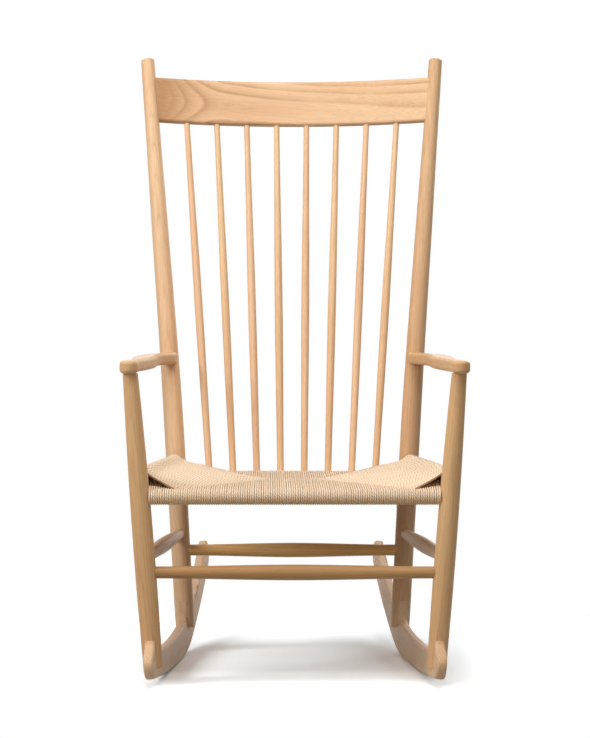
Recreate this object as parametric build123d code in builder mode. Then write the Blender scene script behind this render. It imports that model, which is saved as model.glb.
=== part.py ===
"""Rocking armchair: turned posts and stretchers, sawn rockers, a spindle back and a woven cord seat.

X runs across the chair, Y from front to back and Z up, in millimetres. The origin is on the floor,
on the chair's mid-plane, halfway along the rockers. Every piece on the right has its twin on the
left, mirrored in the YZ plane.
"""

from build123d import *
from math import asin, degrees, hypot, sqrt
import os

# ---- stance -------------------------------------------------------------------------------------
rocker_length = 920.0  # nose to tail, along Y
nose_overhang = 60.0  # nose ahead of the front post's axis
front_foot_x = 240.7  # front post's axis at floor level, from the mid-plane
post_splay = 0.0775  # sideways lean of the front posts, as a slope
back_foot_y = 447.0  # back post's axis at floor level, behind the front post's
back_foot_x = 197.5  # back post's axis at floor level, from the mid-plane
lower_rake = 0.14  # backward lean of the back posts below the bend, as a slope
upper_rake = 0.235  # and above the bend
lower_spread = 0.0596  # sideways lean of the back posts below the bend
upper_spread = 0.0816  # and above the bend
bend_start = 330.0  # heights between which the back posts bend
bend_end = 620.0

# ---- posts --------------------------------------------------------------------------------------
front_post_foot = 30.0  # heights where the posts end, beside the rockers
back_post_foot = 46.0
back_post_top = 1118.5
post_top_chamfer = 2.0

# ---- rockers ------------------------------------------------------------------------------------
rocker_thickness = 18.0
rocker_toe = 0.0927  # the rockers draw together towards the back, as a slope
rocker_edge = 5.0  # rounding along every edge
contact_y = 338.4  # behind the front post's axis: under the chair's centre of mass
front_sweep = 4800.0  # radius of the runner ahead of the contact point
middle_sweep = 700.0  # and just behind it
middle_run = 165.0  # how far the middle radius goes
tail_sweep = 2800.0  # radius of the runner from there to the tail
front_depth = 45.0  # rocker's depth just behind the front post, square to the runner
waist_depth = 47.0  # halfway between the posts
rear_depth = 54.0  # just ahead of the back post
root_depth = 48.0  # just behind the back post
tail_depth = 42.0  # at the tail
nose_height = 44.0  # height of the foremost point
brow_back = 20.0  # the nose slopes up through a point this far behind the foremost
brow_height = 62.0
toe_back = 18.0  # where the runner begins, behind the foremost point
nose_lip = 2.5  # the nose's top stands this far out of the front post
front_shoulder = 78.0  # height of the fork's ceiling in the front post
back_shoulder = 96.0  # and in the back post
lug_sweep = 24.0  # how far the rocker takes to rise into a post
fork_reach = 40.0  # how far the slots are cut beyond a post's axis

# ---- arms ---------------------------------------------------------------------------------------
arm_top = 557.0
arm_thickness = 22.0
arm_edge = 6.5
arm_outer = (
    (300.0, -11.0), (296.0, 22.0), (287.5, 75.0), (287.0, 150.0), (290.0, 240.0),
    (286.0, 330.0), (273.0, 412.0), (254.0, 474.0), (243.5, 526.0),
)
arm_inner = (
    (268.5, -11.0), (270.0, 22.0), (266.0, 75.0), (257.0, 150.0), (249.0, 230.0),
    (246.5, 310.0), (247.0, 380.0), (237.0, 440.0), (222.0, 490.0), (217.5, 526.0),
)
knuckle_front = -27.0  # foremost point of the arm, from the front post's axis
arm_post_tenon = 16.0  # the front post's tenon in the arm
arm_post_tenon_length = 14.0
arm_back_tenon = 14.0  # the arm's tenon in the back post
arm_back_tenon_length = 17.0

# ---- turning of the posts: diameters at these heights -------------------------------------------
front_post_turning = (
    (front_post_foot, 32.8), (78.0, 34.6), (165.0, 36.0), (240.0, 36.0), (400.0, 32.4),
    (arm_top - arm_thickness, 26.0),
)
back_post_turning = (
    (back_post_foot, 34.6), (150.0, 35.6), (300.0, 36.4), (440.0, 36.5), (580.0, 34.6),
    (730.0, 32.5), (884.0, 29.7), (1000.0, 27.5), (back_post_top, 25.4),
)

# ---- seat frame ---------------------------------------------------------------------------------
rail_diameter = 20.0
cord_diameter = 4.0
front_rail_height = 323.0
back_rail_height = 322.0
side_rail_front = 358.0
side_rail_back = 353.0
rail_end = 17.0  # diameter of the rail's ends in the posts
tenon_depth = 17.0  # how far past a post's surface every round end goes

# ---- stretchers ---------------------------------------------------------------------------------
stretcher_end = 20.5
stretcher_middle = 27.0
front_stretcher_height = 193.5
rear_stretcher_height = 188.3
side_stretcher_height = 218.5

# ---- back ---------------------------------------------------------------------------------------
crest_top = 1083.0  # where the crest rail's upper edge meets the posts
crest_height = 88.0  # measured along the posts
crest_thickness = 18.0
crest_bow = 33.5  # the crest rail's middle stands this far behind its ends
crest_edge = 6.0
crest_tenon_thickness = 10.0
crest_tenon_shoulder = 9.0  # above and below the tenon
crest_tenon_length = 7.0  # past the post's surface
spindle_count = 8
spindle_pitch_seat = 44.3
spindle_pitch_crest = 58.0
spindle_base = 12.7
spindle_belly = 15.4
spindle_belly_share = 0.44  # where the belly is, from the seat up
spindle_top = 11.0
spindle_seat_tenon = 9.0
spindle_crest_depth = 15.0

# ---- seat ---------------------------------------------------------------------------------------
weave_core = 12.0  # thickness of the woven sheet away from the rails
weave_post_gap = 1.2  # the cord stops this far from the posts
weave_edge = 18.0  # the side strands start this far behind the front rail and ahead of the back one
weave_sink = 0.8  # the sheet runs into the rolls this far below their tops
rise_front = 213.0  # the weave starts to rise to the side rails this far from the mid-plane
rise_middle = 45.0
rise_back = 119.0
rise_middle_y = 265.0  # the middle of those three places, behind the front rail

# ---- fits ---------------------------------------------------------------------------------------
glue_gap = 0.12  # round every tenon and in every slot
shoulder_gap = 0.5  # between a spindle's shoulder and the rail
cord_gap = 0.25  # between the wound cord and the wood

front_y = nose_overhang - rocker_length / 2
back_y = front_y + back_foot_y
wrap_radius = rail_diameter / 2 + cord_diameter


def unit(x, y, z):
    """The direction (x, y, z) with a length of one."""
    return Vector(x, y, z).normalized()


def mirrored(point):
    """The point's twin on the other side of the chair."""
    return Vector(-point.X, point.Y, point.Z)


# ---- the posts' axes ----------------------------------------------------------------------------
def leaned(height, lower, upper):
    """How far a back post has leaned at this height: straight, bent evenly, then straight."""
    into = min(max(height - bend_start, 0), bend_end - bend_start)
    bent = (upper - lower) * into**2 / (2 * (bend_end - bend_start))
    return lower * height + bent + (upper - lower) * max(height - bend_end, 0)


def lean_slope(height, lower, upper):
    """The slope of a back post at this height."""
    share = (height - bend_start) / (bend_end - bend_start)
    return lower + (upper - lower) * min(max(share, 0), 1)


def back_axis(height):
    """The point of the right back post's axis at this height."""
    x = back_foot_x + leaned(height, lower_spread, upper_spread)
    return Vector(x, back_y + leaned(height, lower_rake, upper_rake), height)


def back_direction(height):
    """The direction of the right back post's axis at this height."""
    spread = lean_slope(height, lower_spread, upper_spread)
    return unit(spread, lean_slope(height, lower_rake, upper_rake), 1)


def front_axis(height):
    """The point of the right front post's axis at this height."""
    return Vector(front_foot_x + post_splay * height, front_y, height)


front_direction = unit(post_splay, 0, 1)


def post_radius(turning, height):
    """A post's radius at this height, between the sections it is turned to."""
    for (low, low_diameter), (high, high_diameter) in zip(turning, turning[1:]):
        if height <= high:
            share = (height - low) / (high - low)
            return (low_diameter + (high_diameter - low_diameter) * share) / 2
    return turning[-1][1] / 2


# ---- the ends of the round bars -----------------------------------------------------------------
def bar_end(post, other, radius):
    """Where a bar that comes from other ends inside a post of this radius, whose axis is at post."""
    return post + (other - post).normalized() * (radius - tenon_depth)


def cross_bar(axis, turning, height):
    """The two ends of a bar that joins a pair of posts at this height."""
    post = axis(height)
    end = bar_end(post, mirrored(post), post_radius(turning, height))
    return mirrored(end), end


def side_bar(front_height, back_height):
    """The two ends of a bar that joins the right front post to the right back post."""
    front, back = front_axis(front_height), back_axis(back_height)
    start = bar_end(front, back, post_radius(front_post_turning, front_height))
    return start, bar_end(back, front, post_radius(back_post_turning, back_height))


front_rail = cross_bar(front_axis, front_post_turning, front_rail_height)
back_rail = cross_bar(back_axis, back_post_turning, back_rail_height)
side_rail = side_bar(side_rail_front, side_rail_back)
front_stretcher = cross_bar(front_axis, front_post_turning, front_stretcher_height)
rear_stretcher = cross_bar(back_axis, back_post_turning, rear_stretcher_height)
side_stretcher = side_bar(side_stretcher_height, side_stretcher_height)


# ---- the plane of the right rocker, which holds the front post's axis ---------------------------
along = unit(-rocker_toe, 1, 0)
across = along.cross(front_direction).normalized()
upright = across.cross(along)
tilt = sqrt(1 - upright.Z**2)
floor_lift = rocker_edge * (1 - upright.Z) + (rocker_thickness / 2 - rocker_edge) * tilt
rocker_plane = Plane(origin=(front_foot_x, front_y, floor_lift), x_dir=along, z_dir=across)
contact_u = contact_y / along.Y
nose_u = -nose_overhang / along.Y
tail_u = (rocker_length - nose_overhang) / along.Y
front_half = post_radius(front_post_turning, front_shoulder)
back_half = post_radius(back_post_turning, back_shoulder)
back_u = rocker_plane.to_local_coords(back_axis(back_shoulder)).X
nose_top = (front_shoulder - floor_lift) / upright.Z
lug_top = (back_shoulder - floor_lift) / upright.Z


def sole(u):
    """Height of the runner at a distance u along the rocker."""
    past = u - contact_u
    if past <= 0:
        return front_sweep - sqrt(front_sweep**2 - past**2)
    if past <= middle_run:
        return middle_sweep - sqrt(middle_sweep**2 - past**2)
    sine = middle_run / middle_sweep
    tail_centre = middle_run - tail_sweep * sine
    rise = (tail_sweep - middle_sweep) * sqrt(1 - sine**2)
    return middle_sweep + rise - sqrt(tail_sweep**2 - (past - tail_centre) ** 2)


def sole_point(u, depth=0.0):
    """The point above the runner at u where the rocker is this deep, measured square to it."""
    slope = sole(u + 0.5) - sole(u - 0.5)
    return (u, sole(u) + depth * hypot(1, slope))


def sole_arc(start, end, depth=0.0):
    """An arc along the runner, or beside it at this depth, from one distance to another."""
    return ThreePointArc(*[sole_point(u, depth) for u in (start, (start + end) / 2, end)])


def lug_side(side, height):
    """A point on the front (-1) or back (1) of the lug that stands in the back post."""
    return (back_u + side * back_half + lower_rake * (height - lug_top), height)


# ---- shapes that more than one piece needs ------------------------------------------------------
def turn(start, end, foot_radius, body, top_radius):
    """Turns a piece from start to end: a round foot, a body through (distance, radius) points,
    which leaves and arrives straight, and a round top."""
    direction = (end - start).normalized()
    length = (end - start).length
    side = direction.cross(Vector(0, 0, 1) if abs(direction.Z) < 0.7 else Vector(0, 1, 0)).normalized()
    curve = [(radius, distance) for distance, radius in body]
    with BuildSketch(Plane(origin=start, x_dir=side, z_dir=side.cross(direction))) as profile:
        with BuildLine():
            Polyline((0, length), (0, 0), (foot_radius, 0), (foot_radius, curve[0][1]))
            if curve[0][0] != foot_radius:
                Line((foot_radius, curve[0][1]), curve[0])
            Spline(*curve, tangents=((0, 1), (0, 1)))
            if curve[-1][0] != top_radius:
                Line(curve[-1], (top_radius, curve[-1][1]))
            Polyline((top_radius, curve[-1][1]), (top_radius, length), (0, length))
        make_face()
    revolve(profile.sketch, axis=Axis(start, direction))


def round_bar(start, end, diameter, gap=0.0, mode=Mode.ADD):
    """A plain cylinder from start to end, grown by a gap round it and past its end."""
    with BuildSketch(Plane(origin=start, z_dir=(end - start).normalized())) as disc:
        Circle(diameter / 2 + gap)
    extrude(disc.sketch, amount=(end - start).length + gap, mode=mode)


def mortise(bar, which, diameter):
    """Bores a post for one end of a bar: which is 0 for its first end and 1 for its last."""
    bottom, other = (bar[0], bar[1]) if which == 0 else (bar[1], bar[0])
    mouth = bottom + (other - bottom).normalized() * (tenon_depth + fork_reach)
    round_bar(mouth, bottom, diameter, glue_gap, Mode.SUBTRACT)


def add_front_post(extra=0.0):
    """Turns the right front post, grown by extra all round, and trims it level under the arm."""
    stretch = 1 / front_direction.Z
    curve = [(diameter / 2 + extra, height * stretch) for height, diameter in front_post_turning]
    crown = curve[-1][1] + arm_post_tenon_length
    side = Vector(0, 1, 0)
    with BuildSketch(Plane(origin=front_axis(0), x_dir=side, z_dir=side.cross(front_direction))) as profile:
        with BuildLine():
            Spline(*curve)
            Polyline(curve[-1], (curve[-1][0], crown), (0, crown), (0, curve[0][1]), curve[0])
        make_face()
    revolve(profile.sketch, axis=Axis(front_axis(0), front_direction))
    split(bisect_by=Plane.XY.offset(arm_top - arm_thickness), keep=Keep.BOTTOM)


def add_back_post(extra=0.0):
    """Lofts the bent right back post, grown by extra all round."""
    sections = []
    for height, diameter in back_post_turning:
        plane = Plane(origin=back_axis(height), x_dir=(1, 0, 0), z_dir=back_direction(height))
        with BuildSketch(plane) as section:
            Circle(diameter / 2 + extra)
        sections.append(section.sketch)
    loft(sections)


def cut_fork(centre_u, ceiling, lean):
    """Cuts the slot that a rocker stands in: a slab as thick as the rocker, up to the ceiling."""
    drop = ceiling + fork_reach
    with BuildSketch(rocker_plane) as slot:
        with BuildLine():
            Polyline((centre_u - fork_reach, ceiling + glue_gap), (centre_u + fork_reach, ceiling + glue_gap),
                     (centre_u + fork_reach - lean * drop, -fork_reach),
                     (centre_u - fork_reach - lean * drop, -fork_reach), close=True)
        make_face()
    extrude(slot.sketch, amount=rocker_thickness / 2 + glue_gap, both=True, mode=Mode.SUBTRACT)


# ---- the rockers: rounded, but square where they stand in the posts ------------------------------
with BuildSketch(rocker_plane) as rocker_outline:
    with BuildLine():
        toe = sole_point(nose_u + toe_back)
        brow = (nose_u + brow_back, brow_height)
        lip = (-front_half - nose_lip, nose_top)
        tail_foot = sole_point(tail_u - tail_depth / 3)
        tail_top = sole_point(tail_u - tail_depth / 3, tail_depth)
        tail_middle = (tail_u, (tail_foot[1] + tail_top[1]) / 2)
        rear_low = lug_side(1, lug_top - lug_sweep / 2)
        front_low = lug_side(-1, lug_top - lug_sweep)
        nose_low = (front_half, nose_top - lug_sweep / 2)
        root = sole_point(rear_low[0] + lug_sweep, root_depth)
        rear = sole_point(front_low[0] - 2 * lug_sweep, rear_depth)
        front = sole_point(nose_low[0] + lug_sweep, front_depth)
        waist = sole_point((front[0] + rear[0]) / 2, waist_depth)
        sole_arc(toe[0], contact_u)
        sole_arc(contact_u, contact_u + middle_run)
        sole_arc(contact_u + middle_run, tail_foot[0])
        ThreePointArc(tail_foot, tail_middle, tail_top)
        back_top = ThreePointArc(tail_top, sole_point((root[0] + tail_u) / 2, (root_depth + tail_depth) / 2), root)
        Spline(root, rear_low, tangents=(back_top % 1, (lower_rake, 1)))
        Polyline(rear_low, lug_side(1, lug_top), lug_side(-1, lug_top), front_low)
        middle_top = ThreePointArc(rear, waist, front)
        Spline(front_low, rear, tangents=((-lower_rake, -1), middle_top % 0))
        Spline(front, nose_low, tangents=(middle_top % 1, (0, 1)))
        Polyline(nose_low, (front_half, nose_top), lip)
        Spline(lip, brow, (nose_u, nose_height), toe, tangents=((-0.3, -1), (1, -0.2)))
    make_face()

with BuildPart() as lugs:
    add_front_post()
    add_back_post()
    extrude(rocker_outline.sketch, amount=rocker_thickness / 2, both=True, mode=Mode.INTERSECT)

with BuildPart() as rocker_right:
    extrude(rocker_outline.sketch, amount=rocker_thickness / 2, both=True)
    faces = rocker_right.faces().sort_by(lambda face: face.area)[-2:]
    fillet(faces.edges(), rocker_edge)
    add(lugs.part)

# ---- the room that the posts take up in their neighbours ----------------------------------------
with BuildPart() as back_post_room:
    add_back_post(glue_gap)

with BuildPart() as weave_room:
    add_front_post(weave_post_gap)
    add_back_post(weave_post_gap)
    mirror(about=Plane.YZ)

# ---- the crest rail -----------------------------------------------------------------------------
crest_up = unit(0, upper_rake, 1)
crest_bottom = crest_top - crest_height * crest_up.Z
crest_end = back_axis(crest_bottom)
crest_plane = Plane(origin=(0, crest_end.Y, crest_bottom), x_dir=(1, 0, 0), z_dir=crest_up)
crest_radius = (crest_end.X**2 + crest_bow**2) / (2 * crest_bow)
crest_middle = back_axis(crest_top - crest_height / 2)
crest_tenon_end = crest_middle.X - post_radius(back_post_turning, crest_middle.Z) + crest_tenon_length


def crest_band(thickness, reach, low, high, mode=Mode.ADD):
    """A band bowed like the crest rail, out to this reach, between two heights on the rail."""
    half_turn = degrees(asin(reach / crest_radius))
    with BuildSketch(crest_plane.offset(low)) as band:
        with BuildLine():
            centre = (0, crest_bow - crest_radius)
            front = CenterArc(centre, crest_radius - thickness / 2, 90 - half_turn, 2 * half_turn)
            back = CenterArc(centre, crest_radius + thickness / 2, 90 - half_turn, 2 * half_turn)
            Line(front @ 0, back @ 0)
            Line(front @ 1, back @ 1)
        make_face()
    extrude(band.sketch, amount=high - low, mode=mode)


def crest_point(x, height):
    """The point in the middle of the crest rail's thickness at x, this far up the rail."""
    back = crest_bow - crest_radius + sqrt(crest_radius**2 - x**2)
    return crest_plane.from_local_coords(Vector(x, back, height))


def crest_tenons(gap, mode=Mode.ADD):
    """The crest rail's tenons, as one band, grown by a gap all round."""
    crest_band(crest_tenon_thickness + 2 * gap, crest_tenon_end + gap,
               crest_tenon_shoulder - gap, crest_height - crest_tenon_shoulder + gap, mode)


# ---- the spindles -------------------------------------------------------------------------------
spindle_places = [place - (spindle_count - 1) / 2 for place in range(spindle_count)]
spindle_ends = [
    (Vector(place * spindle_pitch_seat, back_rail[0].Y, back_rail_height),
     crest_point(place * spindle_pitch_crest, spindle_crest_depth))
    for place in spindle_places
]
spindles = []
for foot, tip in spindle_ends:
    length = (tip - foot).length
    with BuildPart() as spindle:
        turn(foot, tip, spindle_seat_tenon / 2,
             [(rail_diameter / 2 + shoulder_gap, spindle_base / 2),
              (spindle_belly_share * length, spindle_belly / 2),
              (length - spindle_crest_depth, spindle_top / 2)], spindle_top / 2)
    spindles.append(spindle)

with BuildPart() as crest_rail:
    crest_band(crest_thickness, crest_end.X, 0, crest_height)
    long_edges = crest_rail.edges().group_by(Edge.length)[-2:]
    fillet(long_edges[0] + long_edges[1], crest_edge)
    add(back_post_room.part, mode=Mode.SUBTRACT)
    add(mirror(back_post_room.part, about=Plane.YZ, mode=Mode.PRIVATE), mode=Mode.SUBTRACT)
    crest_tenons(0)
    for foot, tip in spindle_ends:
        round_bar(tip - (tip - foot).normalized() * crest_height, tip, spindle_top, glue_gap, Mode.SUBTRACT)

# ---- the arms -----------------------------------------------------------------------------------
arm_seat = back_axis(arm_top - arm_thickness / 2)
neck_x, neck_behind = [(outer + inner) / 2 for outer, inner in zip(arm_outer[-2], arm_inner[-2])]
neck = Vector(neck_x, front_y + neck_behind, arm_seat.Z)
arm_inward = (arm_seat - neck).normalized()
arm_back_end = arm_seat - arm_inward * (post_radius(back_post_turning, arm_seat.Z) - arm_back_tenon_length)
arm_post_end = front_axis(arm_top - arm_thickness + arm_post_tenon_length)
arm_post_root = front_axis(arm_top - 2 * arm_thickness)

with BuildPart() as arm_right:
    with BuildSketch(Plane.XY.offset(arm_top - arm_thickness)):
        with BuildLine():
            outer = Spline(*[(x, front_y + behind) for x, behind in arm_outer])
            inner = Spline(*[(x, front_y + behind) for x, behind in arm_inner])
            knuckle = ((arm_outer[0][0] + arm_inner[0][0]) / 2, front_y + knuckle_front)
            ThreePointArc(outer @ 0, knuckle, inner @ 0)
            Line(outer @ 1, inner @ 1)
        make_face()
    extrude(amount=arm_thickness)
    rims = [arm_right.faces().sort_by(Axis.Z)[side].edges().sort_by(Axis.Y)[:-1] for side in (0, -1)]
    fillet(rims[0] + rims[1], arm_edge)
    add(back_post_room.part, mode=Mode.SUBTRACT)
    round_bar(neck, arm_back_end, arm_back_tenon)
    round_bar(arm_post_root, arm_post_end, arm_post_tenon, glue_gap, Mode.SUBTRACT)

# ---- the posts ----------------------------------------------------------------------------------
with BuildPart() as front_post_right:
    add_front_post()
    round_bar(arm_post_root, arm_post_end, arm_post_tenon)
    cut_fork(0, nose_top, 0)
    mortise(front_rail, 1, rail_end)
    mortise(side_rail, 0, rail_end)
    mortise(front_stretcher, 1, stretcher_end)
    mortise(side_stretcher, 0, stretcher_end)

with BuildPart() as back_post_right:
    add_back_post()
    chamfer(back_post_right.faces().sort_by(Axis.Z)[-1].edges(), post_top_chamfer)
    cut_fork(back_u, lug_top, lower_rake)
    mortise(back_rail, 1, rail_end)
    mortise(side_rail, 1, rail_end)
    mortise(rear_stretcher, 1, stretcher_end)
    mortise(side_stretcher, 1, stretcher_end)
    round_bar(neck, arm_back_end, arm_back_tenon, glue_gap, Mode.SUBTRACT)
    crest_tenons(glue_gap, Mode.SUBTRACT)

# ---- the seat rails and the stretchers ----------------------------------------------------------
rail_shoulder = tenon_depth + rail_diameter / 2 * upper_rake  # clear of the most raked post


def add_rail(bar):
    """Turns a seat rail: plain, with slimmer ends."""
    length, radius = (bar[1] - bar[0]).length, rail_diameter / 2
    body = [(rail_shoulder, radius), (length / 2, radius), (length - rail_shoulder, radius)]
    turn(*bar, rail_end / 2, body, rail_end / 2)


def add_stretcher(bar):
    """Turns a stretcher that swells evenly towards its middle."""
    length = (bar[1] - bar[0]).length
    body = [(tenon_depth, stretcher_end / 2), (length / 2, stretcher_middle / 2),
            (length - tenon_depth, stretcher_end / 2)]
    turn(*bar, stretcher_end / 2, body, stretcher_end / 2)


with BuildPart() as front_rail_bar:
    add_rail(front_rail)

with BuildPart() as back_rail_bar:
    add_rail(back_rail)
    for foot, tip in spindle_ends:
        top = foot + (tip - foot).normalized() * rail_diameter
        round_bar(top, foot, spindle_seat_tenon, glue_gap, Mode.SUBTRACT)

with BuildPart() as side_rail_right:
    add_rail(side_rail)

with BuildPart() as front_stretcher_bar:
    add_stretcher(front_stretcher)

with BuildPart() as rear_stretcher_bar:
    add_stretcher(rear_stretcher)

with BuildPart() as side_stretcher_right:
    add_stretcher(side_stretcher)

# ---- the woven seat -----------------------------------------------------------------------------
seat_depth = back_rail[0].Y - front_y
seat_corners = (front_axis(side_rail_front), back_axis(side_rail_back))


def weave_section(behind, shape_at, rise_x):
    """A cross-section of the woven sheet this far behind the front rail: level in the middle, then
    rising to the wound side rails, whose places are those at shape_at."""
    share = shape_at / (seat_corners[1].Y - front_y)
    rail = seat_corners[0] + (seat_corners[1] - seat_corners[0]) * share
    level = front_rail_height + (back_rail_height - front_rail_height) * behind / seat_depth
    right = [(rise_x, level + wrap_radius - weave_sink), (rail.X - wrap_radius, rail.Z), (rail.X, rail.Z)]
    top = [(-x, z) for x, z in reversed(right)] + right
    bottom = [(x, z - weave_core) for x, z in reversed(top)]
    with BuildSketch(Plane.XZ.offset(-front_y - behind)) as section:
        with BuildLine():
            Polyline(*top, *bottom, close=True)
        make_face()
    return section.sketch


with BuildPart() as seat_weave:
    back_edge = seat_depth - weave_edge
    sections = [
        weave_section(0, weave_edge, rise_front),
        weave_section(weave_edge, weave_edge, rise_front),
        weave_section(rise_middle_y, rise_middle_y, rise_middle),
        weave_section(back_edge, back_edge, rise_back),
        weave_section(seat_depth, back_edge, rise_back),
    ]
    loft(sections, ruled=True)
    wrapped = 2 * wrap_radius
    right_rail = [front_axis(side_rail_front), back_axis(side_rail_back)]
    left_rail = [mirrored(point) for point in right_rail]
    cross_rails = [[mirrored(axis(height)), axis(height)]
                   for axis, height in ((front_axis, front_rail_height), (back_axis, back_rail_height))]
    for start, end in (right_rail, left_rail, *cross_rails):
        round_bar(start, end, wrapped)
    for start, end in (right_rail, left_rail, *cross_rails):
        round_bar(start, end, rail_diameter, cord_gap, Mode.SUBTRACT)
    for foot, tip in spindle_ends:
        top = foot + (tip - foot).normalized() * 2 * wrapped
        round_bar(foot, top, spindle_base, cord_gap, Mode.SUBTRACT)
    add(weave_room.part, mode=Mode.SUBTRACT)

# ---- the left-hand twins ------------------------------------------------------------------------
with BuildPart() as rocker_left:
    mirror(rocker_right.part, about=Plane.YZ)

with BuildPart() as front_post_left:
    mirror(front_post_right.part, about=Plane.YZ)

with BuildPart() as back_post_left:
    mirror(back_post_right.part, about=Plane.YZ)

with BuildPart() as arm_left:
    mirror(arm_right.part, about=Plane.YZ)

with BuildPart() as side_rail_left:
    mirror(side_rail_right.part, about=Plane.YZ)

with BuildPart() as side_stretcher_left:
    mirror(side_stretcher_right.part, about=Plane.YZ)

# ---- one STEP file for each piece ---------------------------------------------------------------
pieces = {
    "rocker_right": rocker_right,
    "rocker_left": rocker_left,
    "front_post_right": front_post_right,
    "front_post_left": front_post_left,
    "back_post_right": back_post_right,
    "back_post_left": back_post_left,
    "arm_right": arm_right,
    "arm_left": arm_left,
    "crest_rail": crest_rail,
    "front_rail": front_rail_bar,
    "back_rail": back_rail_bar,
    "side_rail_right": side_rail_right,
    "side_rail_left": side_rail_left,
    "front_stretcher": front_stretcher_bar,
    "rear_stretcher": rear_stretcher_bar,
    "side_stretcher_right": side_stretcher_right,
    "side_stretcher_left": side_stretcher_left,
    "seat_weave": seat_weave,
}
pieces |= {f"spindle_{number}": spindle for number, spindle in enumerate(spindles, 1)}

os.makedirs("parts", exist_ok=True)
for name, piece in pieces.items():
    piece.part.label = name
    export_step(piece.part, f"parts/{name}.step")
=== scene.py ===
"""Dresses the rocking chair: pale ring-porous wood on every turned and sawn piece, and a seat wound
strand by strand in twisted paper cord. Lengths are in metres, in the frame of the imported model."""

import logging
import math
from dataclasses import dataclass, field
from enum import Enum

import bpy
import numpy as np
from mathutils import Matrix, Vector


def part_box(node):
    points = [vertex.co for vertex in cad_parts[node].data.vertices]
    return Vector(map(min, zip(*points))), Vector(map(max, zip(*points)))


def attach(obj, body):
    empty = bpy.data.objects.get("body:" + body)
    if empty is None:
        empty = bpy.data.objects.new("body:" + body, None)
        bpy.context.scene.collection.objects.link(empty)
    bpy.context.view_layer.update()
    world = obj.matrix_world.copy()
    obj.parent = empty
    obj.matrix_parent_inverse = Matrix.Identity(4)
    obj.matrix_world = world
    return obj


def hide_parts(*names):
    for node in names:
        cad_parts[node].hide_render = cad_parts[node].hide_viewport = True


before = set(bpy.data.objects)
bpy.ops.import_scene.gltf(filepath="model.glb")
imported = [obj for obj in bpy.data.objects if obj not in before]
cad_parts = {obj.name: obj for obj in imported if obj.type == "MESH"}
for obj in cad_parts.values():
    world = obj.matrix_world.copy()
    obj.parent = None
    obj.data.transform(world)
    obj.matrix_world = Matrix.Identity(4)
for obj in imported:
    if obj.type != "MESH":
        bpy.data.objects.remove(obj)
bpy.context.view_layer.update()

logging.basicConfig(level=logging.INFO, format="%(message)s")
log = logging.getLogger("rocking_chair")

Point = tuple[float, float, float]
Colour = tuple[float, float, float]
Stops = tuple[tuple[float, float], ...]

BODY = "root"
SIDES = {"right": 1.0, "left": -1.0}


@dataclass(frozen=True)
class Noise:
    """A noise texture: how fine it is, how much detail it has, and how drawn out it is along Z,
    as a share of its scale there."""

    scale: float
    detail: float = 2.0
    along: float = 1.0


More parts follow.
